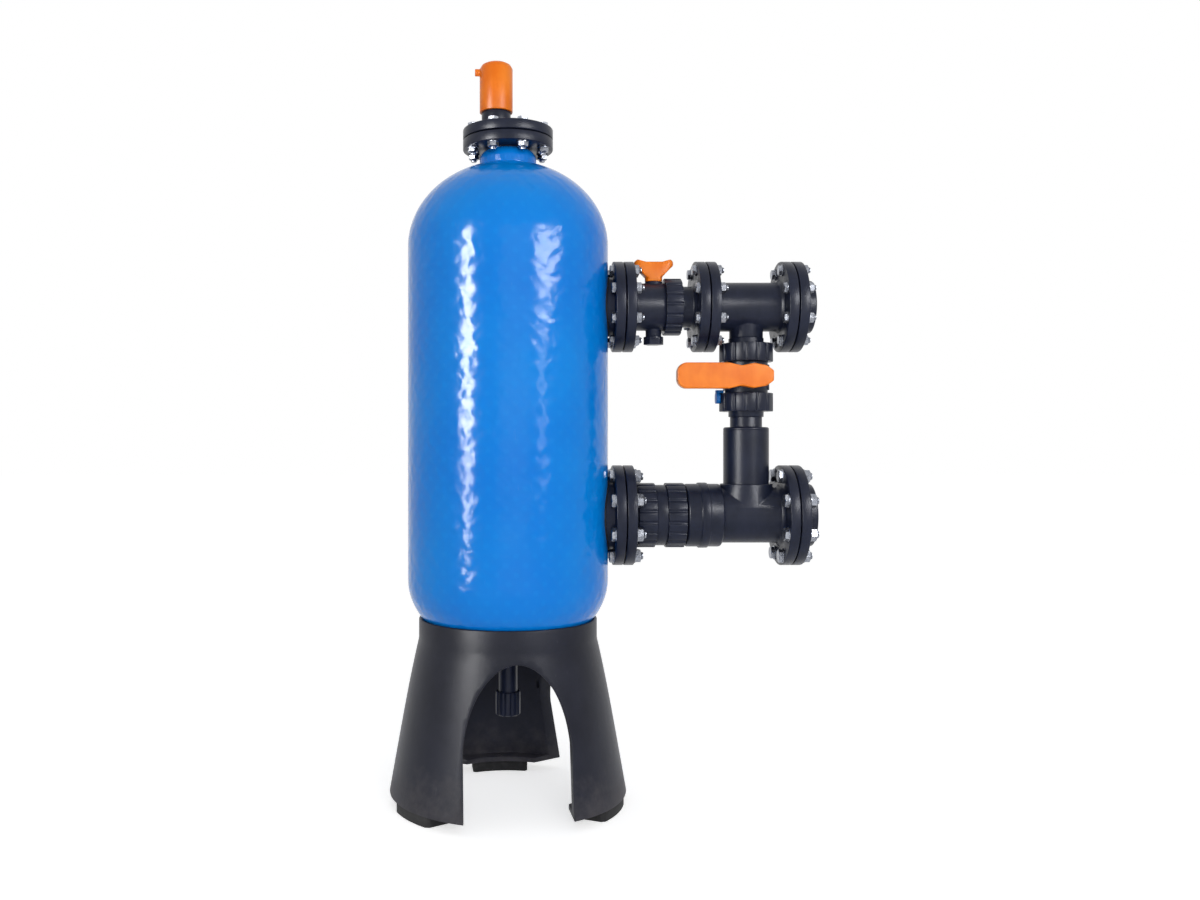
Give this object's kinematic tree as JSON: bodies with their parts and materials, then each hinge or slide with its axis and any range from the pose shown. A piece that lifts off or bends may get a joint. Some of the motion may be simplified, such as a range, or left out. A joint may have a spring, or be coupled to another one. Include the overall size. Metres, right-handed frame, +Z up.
{
  "type": "sand media filter with bypass pipework",
  "caption": "Upright composite pressure filter on a flared tripod stand, with flanged inlet and outlet lines at one side, a valved bypass between them and an air valve on top.",
  "frame": {"origin": "the vessel's axis at floor level, which is the centre of the three floor anchor holes", "axes": "+Z up along the vessel's axis; +X from the vessel towards the inlet and outlet pipework; the picture looks along +Y"},
  "size_m": [1.07, 0.5822, 1.869],
  "materials": {
    "tank_blue": "glossy gelcoat over wound fibre",
    "stand_black": "moulded satin",
    "pipe_black": "moulded semi-gloss",
    "orange_plastic": "moulded semi-gloss",
    "clip_blue": "moulded",
    "rubber_black": "moulded",
    "zinc_steel": "zinc plated",
    "ball_plastic": "turned",
    "seat_plastic": "turned",
    "float_plastic": "moulded",
    "inner_plastic": "moulded",
    "sand": "granular",
    "gravel": "granular"
  },
  "bodies": {
    "filter": {"tank_shell": "tank_blue", "stand": "stand_black", "stand_feet": "rubber_black", "closure_flange": "pipe_black", "closure_lid": "pipe_black", "air_valve_base": "pipe_black", "air_valve_body": "orange_plastic", "air_valve_seat": "rubber_black", "drain_nipple": "pipe_black", "drain_cap": "pipe_black", "bolts_m16": "zinc_steel", "nuts_m16": "zinc_steel", "bolts_m20": "zinc_steel", "nuts_m20": "zinc_steel", "flange_gaskets_4in": "rubber_black", "flange_gaskets_5in": "rubber_black", "inlet_port_fitting": "pipe_black", "inlet_port_gasket": "rubber_black", "inlet_port_nut": "pipe_black", "inlet_valve_body": "pipe_black", "inlet_valve_seats": "seat_plastic", "inlet_valve_union_nut": "pipe_black", "inlet_valve_tail": "pipe_black", "inlet_valve_plug": "pipe_black", "inlet_tee": "pipe_black", "inlet_header_flange": "pipe_black", "bypass_valve_body": "pipe_black", "bypass_valve_seats": "seat_plastic", "bypass_union_nuts": "pipe_black", "bypass_tails": "pipe_black", "union_nut_lock": "clip_blue", "bypass_reducer": "pipe_black", "bypass_riser": "pipe_black", "outlet_port_fitting": "pipe_black", "outlet_port_gasket": "rubber_black", "outlet_port_nut": "pipe_black", "check_flange_end": "pipe_black", "check_union_nuts": "pipe_black", "check_body": "pipe_black", "check_seat": "rubber_black", "check_flap_pin": "zinc_steel", "check_tail": "pipe_black", "outlet_coupling": "pipe_black", "outlet_tee": "pipe_black", "outlet_header_flange": "pipe_black", "inlet_elbow": "inner_plastic", "inlet_diffuser": "inner_plastic", "outlet_elbow": "inner_plastic", "collector_hub": "inner_plastic", "laterals": "inner_plastic", "gravel_bed": "gravel", "sand_bed": "sand"},
    "inlet_valve_rotor": {"inlet_valve_ball": "ball_plastic", "inlet_valve_stem": "pipe_black", "inlet_valve_handle": "orange_plastic"},
    "bypass_valve_rotor": {"bypass_valve_ball": "ball_plastic", "bypass_valve_stem": "pipe_black", "bypass_lever": "orange_plastic"},
    "check_flap_leaf": {"check_flap": "pipe_black"},
    "air_float": {"air_valve_float": "float_plastic"}
  },
  "joints": [
    {"name": "inlet_valve_turn", "type": "hinge", "parent": "filter", "child": "inlet_valve_rotor", "pos_m": [0.371, 0, 1.25], "axis": [0, 0, 1], "range_deg": [0, 90]},
    {"name": "bypass_valve_turn", "type": "hinge", "parent": "filter", "child": "bypass_valve_rotor", "pos_m": [0.607, 0, 1.07], "axis": [0, -1, 0], "range_deg": [0, 90]},
    {"name": "check_flap_swing", "type": "hinge", "parent": "filter", "child": "check_flap_leaf", "pos_m": [0.372, 0, 0.774], "axis": [0, -1, 0], "range_deg": [0, 60]},
    {"name": "air_float_rise", "type": "slide", "parent": "filter", "child": "air_float", "axis": [0, 0, 1], "range_m": [0, 0.015]}
  ]
}
